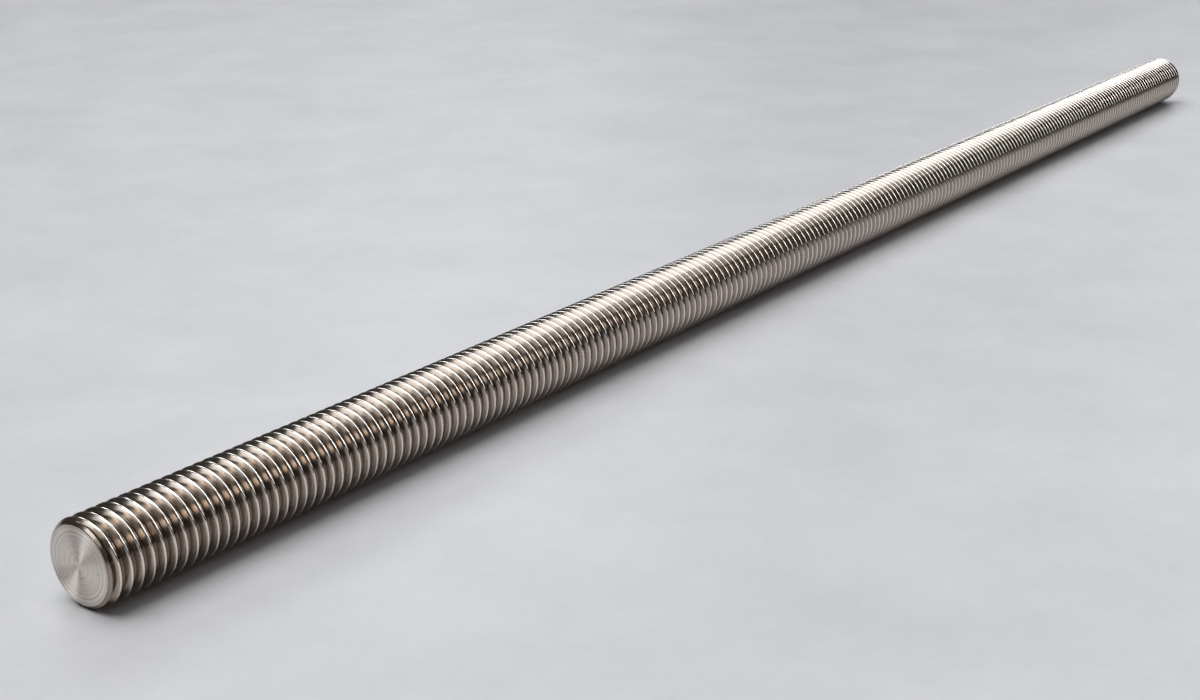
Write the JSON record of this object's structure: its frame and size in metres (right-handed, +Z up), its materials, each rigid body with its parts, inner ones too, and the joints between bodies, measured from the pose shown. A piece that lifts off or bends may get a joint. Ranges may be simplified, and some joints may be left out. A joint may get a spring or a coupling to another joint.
{
  "type": "threaded rod",
  "caption": "Straight round stainless rod with a right-hand screw thread along its whole length and a chamfered, turned face at each end, held by nuts or tapped holes.",
  "frame": {"origin": "middle of the rod's length, on the plane that its lowest crests touch", "axes": "+X along the rod's axis from the near end to the far end, +Z up, -Y towards the viewer's side"},
  "size_m": [0.508, 0.0158, 0.0159],
  "materials": {
    "stainless_steel": "bright smooth thread flanks and crests, end faces with fine turning rings"
  },
  "bodies": {
    "root": {"threaded_rod": "stainless_steel"}
  },
  "joints": []
}
